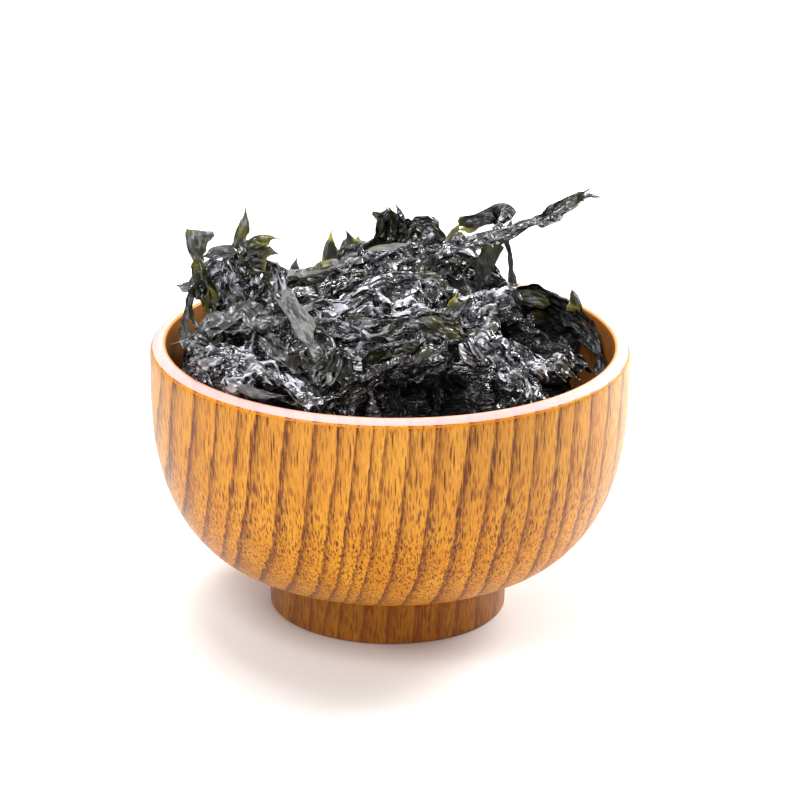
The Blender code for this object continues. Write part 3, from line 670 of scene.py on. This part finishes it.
def blade_sheet(
    route, chance, look, standing=False, twist=0.9, tips=(4, 7), tears=1, steady=False, grid=GRID
):
    """A blade's grid of points, its kept quads and the values that its material reads."""
    calm, olive, pale, shade = look
    shares = np.linspace(0, 1, FINE_STEPS)
    steps = np.linalg.norm(np.diff(along(route, shares)[:, :3], axis=0), axis=1)
    travelled = np.concatenate([[0], np.cumsum(steps)])
    length = travelled[-1]
    lengths = np.linspace(0, length, max(8, int(length / grid)))
    centre = along(route, np.interp(lengths, travelled, shares))
    widths = np.maximum(centre[:, 3], 0.4)
    place = centre[:, :3].copy()

    wander = noise_field(chance)
    offset = chance.uniform(0, NOISE_SPAN, 8)
    sway = min(1.2, 0.12 * widths.max()) * (0.4 if steady else 1)
    for axis, share in enumerate((1, 1, 0.6)):
        place[:, axis] += sway * wander(lengths / 7 + offset[axis], offset[axis]) * share
    side, face = blade_axes(place, lengths, standing, twist, wander, offset)

    # Outline, and where the columns of the grid lie across it
    stretch = 1.1 if calm > 0.5 else 1.35
    start_taper, end_taper = (
        np.clip(away / min(tip, 0.35 * length), 0.1, 1) ** 1.1
        for away, tip in zip((lengths, length - lengths), tips)
    )
    left, right = (
        0.5 * widths * stretch * ragged_side(lengths, chance, calm, steady) * (start_taper * end_taper)
        for _ in range(2)
    )
    half = 0.5 * (left + right).mean()
    columns = max(7, int(2.2 * half / grid))
    v = np.linspace(-1, 1, columns)
    across = np.where(v < 0, left[:, None] * v, right[:, None] * v)
    across, keep = torn(across, v, lengths, half, calm, tears, chance)

    # Cross-section, then crumpling at right angles to the sheet
    flow = noise_field(chance)
    u = lengths[:, None]
    angle = pleat_angle(u, v, across, half, calm, flow, offset[5], chance)
    step = np.gradient(across, axis=1)
    run, rise = np.cumsum(np.cos(angle) * step, axis=1), np.cumsum(np.sin(angle) * step, axis=1)
    run, rise = run - run.mean(axis=1, keepdims=True), rise - rise.mean(axis=1, keepdims=True)
    points = place[:, None] + side[:, None] * run[..., None] + face[:, None] * rise[..., None]
    height = crumpling(u, across, flow, chance)
    height *= (1 - 0.65 * calm) * np.clip(0.5 * (left + right), 0.1, 1)[:, None]
    points = keep_in_bowl(points + grid_normals(points) * height[..., None])

    # Olive shows at the ends, in patches and at the edges
    bits = flow(u / 5 + offset[5], across / 3 + offset[6])
    to_end = np.minimum(u, length - u) + 0 * across
    tip = np.clip(1 - to_end / (2.5 + 2 * bits), 0, 1) * np.clip(0.2 + 1.4 * bits, 0, 1)
    patch = np.clip(5 * flow(u / 6 + offset[7], across / 3.5) - 3.1, 0, 1)
    lit = 0.4 + 0.6 * np.abs(v) ** 3 + 1.1 * bits
    thin = 0.5 * tip + 0.4 * patch + olive * np.clip(lit, 0.1, 1)
    label = chance.uniform(0, 900, 2)
    values = {
        "sheet": np.stack([u + 0 * across + label[0], across + label[1], 0 * across], -1),
        "thinness": np.clip(thin, 0, 1),
        "calm": np.full(across.shape, float(calm)),
        "pale": np.full(across.shape, float(pale)),
        # painted shade, from depth in the heap or the blade's own shade
        "depth": np.maximum(depth_in_heap(points), shade),
    }
    return points, keep, values


def solid_sheet(points, keep):
    """The kept quads of a grid made a closed thin solid: points and quads."""
    rows, columns = points.shape[:2]
    depth = np.full((rows, columns), 0.5 * THICKNESS)
    depth[0], depth[-1], depth[:, 0], depth[:, -1] = (0.5 * EDGE_THICKNESS,) * 4
    offset = grid_normals(points) * depth[..., None]
    count = rows * columns
    index = np.arange(count).reshape(rows, columns)
    a, b, c, d = index[:-1, :-1], index[1:, :-1], index[1:, 1:], index[:-1, 1:]
    face = np.stack([a, b, c, d], -1)[keep]
    near = np.pad(keep, 1)
    quads = [face, face[:, ::-1] + count]
    for neighbour, start, end in (
        (near[1:-1, :-2], a, b), (near[2:, 1:-1], b, c), (near[1:-1, 2:], c, d), (near[:-2, 1:-1], d, a),
    ):
        rim = keep & ~neighbour
        s, e = start[rim], end[rim]
        quads.append(np.stack([e, s, s + count, e + count], -1))
    both = np.concatenate([(points + offset).reshape(-1, 3), (points - offset).reshape(-1, 3)])
    return both, np.concatenate(quads)


# -------- all blades


def add_laver_piece(name, sheets, material):
    """One object from several blades."""
    points, quads, start = [], [], 0
    values = {key: [] for key in sheets[0][2]}
    for sheet_points, keep, sheet_values in sheets:
        some_points, some_quads = solid_sheet(sheet_points, keep)
        points.append(some_points)
        quads.append(some_quads + start)
        for key, value in sheet_values.items():
            flat = value.reshape(-1, 3) if value.ndim == 3 else value.ravel()
            values[key] += [flat, flat]
        start += len(some_points)
    piece = mesh_object(name, np.concatenate(points), np.concatenate(quads), smooth=False)
    finish_laver(piece, {key: np.concatenate(value) for key, value in values.items()}, material)


def strands(route, count, chance):
    """Narrower routes beside one another along a wide one, crossing and running out at different places."""
    found = []
    for index in range(count):
        lane = (index + 0.5) / count - 0.5
        start, end = chance.uniform(-0.02, 0.3) * (index > 0), 1 - chance.uniform(-0.02, 0.3) * (index > 0)
        path = along(route, np.linspace(max(start, 0), min(end, 1), STRAND_STEPS))
        heading = unit(np.gradient(path[:, :3], axis=0))
        sideways = unit(np.cross(heading, (0, -0.4, 1)))
        drift = lane + chance.uniform(-0.25, 0.25, STRAND_STEPS)
        path[:, :3] += sideways * (drift * STRAND_SPREAD * 2 * path[:, 3])[:, None]
        path[:, 2] += chance.uniform(-STRAND_LIFT, STRAND_LIFT, STRAND_STEPS) - 0.6 * abs(lane)
        path[:, 3] *= chance.uniform(0.8, 1.5) / math.sqrt(count) * np.array(STRAND_TAPER)
        found.append([tuple(row) for row in path])
    return found


def named_sheets(blades, standing=False):
    sheets = []
    for name, blade in blades.items():
        chance = chance_for(name)
        twist = 0.3 if standing or blade.steady else 0.8
        tears = 0 if blade.steady else int(1 + 3 * blade.look[0])
        for path in strands(blade.route, blade.strands, chance) if blade.strands > 1 else [blade.route]:
            tips = [POINTED_END if path[end][3] < POINTED_WIDTH else PLAIN_END for end in (0, -1)]
            if blade.square:
                tips = [BLUNT_END, BLUNT_END]
            sheets.append(blade_sheet(path, chance, blade.look, standing, twist, tips, tears, blade.steady))
    return sheets


def loose_sheets(name, count, length, width, depth, lift, grid=GRID, wander=0.7):
    """Blades spread evenly over the heap, sunk to this depth, with an end lifted."""
    chance = chance_for(name)
    sheets = []
    for index in range(count):
        reach = 0.97 * MOUND_EDGE_RADIUS * math.sqrt((index + 0.5) / count)
        turn = index * GOLDEN_ANGLE + chance.uniform(-0.25, 0.25)
        at_x, at_y = reach * math.cos(turn), reach * math.sin(turn)
        heading, bend = LIE_OF_BLADES + chance.normal(0, wander), chance.uniform(-1.6, 1.6)
        long, wide = chance.uniform(*length), chance.uniform(*width)
        sunk, end_lift = chance.uniform(*depth), chance.uniform(*lift)
        if hollow(at_x, at_y) > DEEP_GAP:
            sunk += GAP_SINK
        middle = chance.uniform(-0.5, 2.5)
        if at_x > 33 and -12 < at_y < 26 and sunk < 3:
            continue  # the open place at the right wall
        route = []
        for share, rise, narrow in (
            (-0.5, -3, 0.5), (-0.28, 0.4, 0.9), (0, middle, 1), (0.26, 0.6, 0.9), (0.5, end_lift, 0.3),
        ):
            way = heading + bend * share
            x, y = at_x + share * long * math.cos(way), at_y + share * long * math.sin(way)
            far, limit = math.hypot(x, y), RIM_INNER_RADIUS - RIM_CLEARANCE
            if far > limit:
                x, y = x * limit / far, y * limit / far
            z = float(mound_top(x, y) - 0.9 * hollow(x, y)) + rise - sunk
            route.append((x, y, z, wide * narrow))
        calm = chance.uniform(0.2, 0.7) if index % 5 == 3 else 0
        # Painted highlight, only on the left and middle of the heap
        pale = chance.uniform(0, 0.3) * (at_x < LIGHT_SIDE)
        # Painted shade: the blades on the right are painted dark
        shade = 1 if at_x > 30 and at_y > -16 else 0
        points, keep, values = blade_sheet(route, chance, (calm, 0, pale, shade), grid=grid)
        # Painted shade in the gaps
        in_gap = np.clip(0.16 * hollow(points[..., 0], points[..., 1]), 0, 1)
        values["depth"] = np.maximum(values["depth"], in_gap)
        sheets.append((points, keep, values))
    return sheets


def add_laver(material):
    add_bed(material)
    for name, sheets in (
        ("laver_front_blades", named_sheets(FRONT_BLADES)),
        ("laver_rear_blades", named_sheets(REAR_BLADES)),
        ("laver_standing_blades", named_sheets(STANDING_BLADES, standing=True)),
        ("laver_low_blades", loose_sheets("low", 40, (24, 40), (5, 9), (3, 8), (0, 3), 0.6, 1.2)),
        ("laver_middle_blades", loose_sheets("middle", 70, (16, 32), (3, 6.5), (0.5, 4), (0, 3))),
        ("laver_scraps", loose_sheets("scraps", 70, (8, 18), (1.5, 4), (0, 4), (0, 3.5))),
    ):
        add_laver_piece(name, sheets, material)


# -------- materials


class Nodes:
    """Short ways to add and join a material's nodes."""

    def __init__(self, name):
        self.material = bpy.data.materials.new(name)
        self.material.use_nodes = True
        self.tree = self.material.node_tree
        self.shader = self.tree.nodes["Principled BSDF"]
        self.output = self.tree.nodes["Material Output"]

    def put(self, socket, value):
        if isinstance(value, bpy.types.NodeSocket):
            self.tree.links.new(value, socket)
        else:
            socket.default_value = value

    def add(self, kind, settings=None, **inputs):
        """A node; an input is given by its name, or by its number after an i."""
        node = self.tree.nodes.new(kind)
        for key, value in (settings or {}).items():
            setattr(node, key, value)
        for key, value in inputs.items():
            self.put(node.inputs[int(key[1:]) if key[0] == "i" and key[1:].isdigit() else key], value)
        return node

    def surface(self, **inputs):
        """Sets the shader's inputs, named with _ for a space."""
        for key, value in inputs.items():
            self.put(self.shader.inputs[key.replace("_", " ")], value)

    def math(self, operation, *values):
        node = self.tree.nodes.new("ShaderNodeMath")
        node.operation = operation
        for socket, value in zip(node.inputs, values):
            self.put(socket, value)
        return node.outputs[0]

    def times(self, a, b):
        return self.math("MULTIPLY", a, b)

    def line(self, value, slope, start):
        return self.math("MULTIPLY_ADD", value, slope, start)

    def between(self, value, low, high, start, end):
        """From start to end while the value goes from low to high."""
        limits = {"From Min": low, "From Max": high, "To Min": start, "To Max": end}
        return self.add("ShaderNodeMapRange", None, Value=value, **limits).outputs[0]

    def scaled(self, vector, *scales):
        node = self.add("ShaderNodeVectorMath", {"operation": "MULTIPLY"}, i0=vector, i1=scales)
        return node.outputs[0]

    def split(self, vector):
        return self.add("ShaderNodeSeparateXYZ", None, Vector=vector).outputs

    def noise(self, vector, scale=1, detail=2, roughness=0.5):
        inputs = {"Vector": vector, "Scale": scale, "Detail": detail, "Roughness": roughness}
        return self.add("ShaderNodeTexNoise", None, **inputs).outputs["Fac"]

    def random(self, dimensions, **place):
        return self.add("ShaderNodeTexWhiteNoise", {"noise_dimensions": dimensions}, **place).outputs["Value"]

    def cells(self, vector, dimensions="3D"):
        settings = {"feature": "F1", "voronoi_dimensions": dimensions}
        return self.add("ShaderNodeTexVoronoi", settings, Vector=vector, Scale=1).outputs

    def ramp(self, factor, *stops):
        """A colour or, from plain numbers, a value between stops."""
        node = self.add("ShaderNodeValToRGB", None, Fac=factor)
        elements = node.color_ramp.elements
        while len(elements) < len(stops):
            elements.new(1)
        for element, (position, colour) in zip(elements, stops):
            element.position = position
            element.color = (*colour, 1) if isinstance(colour, tuple) else (colour, colour, colour, 1)
        return node.outputs["Color"]

    def mix(self, factor, a, b):
        node = self.add("ShaderNodeMix", {"data_type": "RGBA", "blend_type": "MIX"}, i0=factor)
        for socket, colour in zip(node.inputs[6:8], (a, b)):
            self.put(socket, colour if isinstance(colour, bpy.types.NodeSocket) else (*colour, 1))
        return node.outputs[2]

    def bump(self, height, strength, distance):
        inputs = {"Height": height, "Strength": strength, "Distance": distance}
        return self.add("ShaderNodeBump", None, **inputs).outputs[0]


def ring_count(n, across):
    """How many growth rings lie before this place across them."""
    first, span = RING_PLACES[0], RING_PLACES[-1] - RING_PLACES[0]
    last = len(RING_PLACES) - 1
    share = n.math("DIVIDE", n.math("SUBTRACT", across, first), span)
    curve = n.add("ShaderNodeFloatCurve", None, Value=share)
    points = curve.mapping.curves[0].points
    spots = [((place - first) / span, index / last) for index, place in enumerate(RING_PLACES)]
    points[0].location, points[-1].location = spots[0], spots[-1]
    for spot in spots[1:-1]:
        points.new(*spot)
    for point in points:
        point.handle_type = "VECTOR"
    curve.mapping.update()
    return n.times(curve.outputs[0], float(last))


def wood_material():
    """Honey-coloured ring-porous wood, its fibres upright, under clear varnish."""
    n = Nodes("varnished_honey_wood")
    coords = n.add("ShaderNodeTexCoord").outputs["Object"]
    millimetres = n.scaled(coords, 1000, 1000, 1000)
    x, y, z = n.split(millimetres)

    def upright(across_scale, upright_scale):
        return n.scaled(millimetres, across_scale, across_scale, upright_scale)

    # Growth rings: a dark line of pores at the start of each, fading through it
    across = n.math("ADD", x, n.times(n.line(x, 0.0022, 0.20), y))
    across = n.line(z, -0.072, across)
    for wide, tall, reach in RING_SWAY:
        across = n.line(n.math("SUBTRACT", n.noise(upright(wide, tall)), 0.5), reach, across)
    rings = ring_count(n, across)
    each = n.random("1D", W=n.math("FLOOR", rings))
    band = n.ramp(
        n.math("FRACT", rings), (0, 1), (0.07, 0.95), (0.15, 0.5), (0.3, 0.25), (0.6, 0.06), (0.92, 0),
        (0.955, 0.7), (1, 1),
    )
    band = n.times(band, n.line(each, 0.4, 0.75))
    dashes = n.times(band, n.ramp(n.noise(upright(2.2, 0.24), 1, 3, 0.65), (0.37, 0.3), (0.53, 1)))

    def pores(across_scale, upright_scale, size, share):
        """Dashes on the wall, where the fibres lie in the surface, and dots on the belly, which cuts them."""
        cells = n.cells(upright(across_scale, upright_scale))
        dots = n.ramp(cells["Distance"], (size * 0.55, 1), (size, 0))
        return n.times(dots, n.math("LESS_THAN", n.random("3D", Vector=cells["Position"]), share))

    wide_pores = pores(1.3, 0.12, 0.40, n.line(band, 1.5, 0.04))
    fine_pores = pores(2.2, 0.27, 0.52, n.line(band, 0.5, 0.62))
    streaks = n.noise(upright(2.7, 0.26), 1, 3, 0.7)

    base = n.ramp(n.noise(upright(0.16, 0.03)), *HONEY)
    base = n.mix(n.ramp(streaks, (0.45, 0), (0.65, 0.7)), base, DARK_STREAK)
    base = n.mix(n.ramp(streaks, (0.34, 0.4), (0.48, 0)), base, PALE_STREAK)
    # Painted sheen: the wall turns paler and greyer towards its top
    on_wall = n.between(z, 35, 62, 0, 0.3)
    base = n.mix(on_wall, base, UPPER_WALL_SHEEN)
    base = n.mix(n.times(dashes, 0.95), base, RING_LINE)
    base = n.mix(n.times(fine_pores, n.line(on_wall, -1.5, 0.95)), base, FINE_PORE)
    base = n.mix(n.times(wide_pores, 0.9), base, WIDE_PORE)

    # The foot is darker and redder, the rim's flat paler with a painted sheen between two warm edges,
    # and the inside darker with painted shade
    base = n.mix(n.times(n.between(z, 12.4, 13.4, 1, 0), 0.6), base, FOOT_WOOD)
    radius = n.math("SQRT", n.math("ADD", n.times(x, x), n.times(y, y)))
    # Painted sheen: the rim's flat is mixed towards pale pink
    on_rim = n.times(n.math("GREATER_THAN", z, 68.95), n.math("GREATER_THAN", radius, 56.5))
    base = n.mix(n.times(on_rim, 0.75), base, RIM_SHEEN)
    over_rim = n.times(n.math("SUBTRACT", radius, 55.5), 0.2)
    edges = n.ramp(over_rim, (0, 1), (0.22, 1), (0.3, 0), (0.8, 0), (0.86, 1))
    edges = n.times(edges, n.math("GREATER_THAN", z, 68.35))
    base = n.mix(n.times(edges, 0.85), base, RIM_EDGE)
    # Painted shade: the inside of the wall is mixed darker
    normal = n.add("ShaderNodeNewGeometry").outputs["Normal"]
    outward = n.add("ShaderNodeVectorMath", {"operation": "DOT_PRODUCT"}, i0=normal, i1=millimetres)
    inside = n.times(n.math("LESS_THAN", outward.outputs["Value"], 0), n.math("LESS_THAN", z, 69.7))
    base = n.mix(n.times(inside, 0.8), base, INSIDE_SHADE)

    relief = n.math("SUBTRACT", n.times(streaks, 0.5), n.math("MAXIMUM", wide_pores, fine_pores))
    n.surface(
        Base_Color=base, Roughness=n.line(streaks, 0.2, 0.3), IOR=1.5, Specular_IOR_Level=0.22,
        Coat_Weight=0.06, Coat_Roughness=0.16, Normal=n.bump(relief, 0.3, 0.0001),
    )
    return n.material


def laver_material():
    """Dried seaweed: near black and glossy, with olive light through its thin places."""
    n = Nodes("dried_laver_blade")
    coords = n.add("ShaderNodeTexCoord").outputs["Object"]
    thin, calm, depth, pale = (
        n.add("ShaderNodeAttribute", {"attribute_name": name}).outputs["Fac"]
        for name in ("thinness", "calm", "depth", "pale")
    )
    sheet = n.add("ShaderNodeAttribute", {"attribute_name": "sheet"}).outputs["Vector"]
    u, v, _ = n.split(sheet)
    patches = n.noise(coords, 140, 3, 0.6)

    def on_sheet(along_scale, across_scale):
        return n.scaled(sheet, along_scale, across_scale, 1)

    def folds(along_turns, across_turns, bend_along, bend_across, steepness, bend=6):
        """Triangle waves, with this many folds for each millimetre, bent by noise."""
        sway = n.times(n.noise(on_sheet(bend_along, bend_across)), bend)
        waves = n.line(u, along_turns, n.line(v, across_turns, sway))
        return n.times(n.math("PINGPONG", waves, 1), steepness / abs(across_turns))

    def crumple(along_scale, across_scale):
        """Cells that meet in sharp creases, this many for each millimetre."""
        return n.cells(on_sheet(along_scale, across_scale), "2D")["Distance"]

    # Fine wrinkles: sharp creases that mostly run the blade's length, over angular crumpled cells
    coarse, fine = crumple(0.17, 0.42), crumple(0.45, 0.95)
    creases = n.math("ADD", folds(0.08, 0.6, 0.08, 0.35, 0.3), folds(-0.2, 1.1, 0.12, 0.5, 0.28))
    cells = n.math("ADD", n.times(coarse, 0.8 / 0.42), n.times(fine, 0.6 / 0.95))
    patchy = n.ramp(n.noise(on_sheet(0.10, 0.22)), (0.35, 0.35), (0.6, 1))
    height = n.times(n.math("ADD", creases, cells), patchy)
    bump = n.bump(n.times(height, n.line(calm, -0.8, 1)), 1, 0.001)

    # Painted highlight: the ridges of the chosen blades go lavender-white, and calm film a paler grey
    ridges = n.ramp(n.line(fine, 0.6, n.times(coarse, 0.5)), (0.50, 0), (0.62, 1))
    highlight_share = n.times(n.times(pale, ridges), n.ramp(patches, (0.35, 0.6), (0.6, 1.6)))
    film = n.mix(highlight_share, n.ramp(patches, *DARK_FILM), HIGHLIGHT_LAVENDER)
    grey = n.mix(n.times(pale, 0.5), n.ramp(patches, *GREY_FILM), SHEEN_GREY)
    film = n.mix(n.times(calm, 0.8), film, grey)
    film = n.mix(thin, film, n.ramp(patches, *OLIVE_FILM))
    # Painted shade: deep and shaded places go near black, with their specular turned down
    n.surface(
        Base_Color=n.mix(depth, film, SHADE_FILM), Roughness=n.line(calm, 0.26, n.line(patches, 0.22, 0.10)),
        IOR=1.8, Specular_IOR_Level=n.times(n.line(depth, -0.88, 0.95), n.line(calm, -0.45, 1)),
        Specular_Tint=(0.95, 0.94, 1, 1), Normal=bump,
    )
    light = n.mix(thin, LIGHT_THROUGH_DARK, LIGHT_THROUGH_OLIVE)
    through = n.add("ShaderNodeBsdfTranslucent", None, Color=light, Normal=bump).outputs[0]
    share = n.line(thin, 0.7, 0.02)
    blend = n.add("ShaderNodeMixShader", None, i0=share, i1=n.shader.outputs[0], i2=through)
    n.put(n.output.inputs["Surface"], blend.outputs[0])
    return n.material


# -------- camera, light and floor


def aimed(name, data, place, rotation):
    """An object for a camera or light, at this place and turn."""
    made = bpy.data.objects.new(name, data)
    bpy.context.scene.collection.objects.link(made)
    made.location = place
    made.rotation_mode = "QUATERNION"
    made.rotation_quaternion = rotation
    return made


def add_camera():
    back = Vector((0, -math.cos(CAMERA_ELEVATION), math.sin(CAMERA_ELEVATION)))
    lens = bpy.data.cameras.new("camera")
    lens.sensor_width = SENSOR_WIDTH
    lens.lens = FOCAL_SHARE * SENSOR_WIDTH
    lens.dof.use_dof = False
    roll = Matrix.Rotation(CAMERA_ROLL, 3, "Z").to_quaternion()
    rotation = (-back).to_track_quat("-Z", "Y") @ roll
    bpy.context.scene.camera = aimed("camera", lens, Vector(CAMERA_AIM) + back * CAMERA_DISTANCE, rotation)


def add_panel(name, place, aim, size, radiance):
    light = bpy.data.lights.new(name, "AREA")
    light.shape = "RECTANGLE"
    light.size, light.size_y = size
    light.energy = radiance * math.pi * size[0] * size[1]
    aimed(name, light, place, (Vector(aim) - Vector(place)).to_track_quat("-Z", "Y"))


def add_stage():
    world = bpy.data.worlds.new("studio")
    bpy.context.scene.world = world
    world.use_nodes = True
    shade = world.node_tree.nodes["Background"]
    shade.inputs["Color"].default_value = (1, 1, 1, 1)
    shade.inputs["Strength"].default_value = WORLD_LIGHT
    n = Nodes("pale_floor")
    n.surface(Base_Color=(0.9, 0.9, 0.9, 1), Roughness=0.8)
    corners = FLOOR_SIZE * np.array([(-1, -1, 0), (1, -1, 0), (1, 1, 0), (-1, 1, 0)])
    floor = mesh_object("floor", corners, [(0, 1, 2, 3)], smooth=False)
    floor.data.materials.append(n.material)
    for panel in PANELS:
        add_panel(*panel)
    bpy.context.scene.view_settings.view_transform = "Standard"


def main():
    add_camera()
    add_stage()
    add_bowl(wood_material())
    add_laver(laver_material())


main()
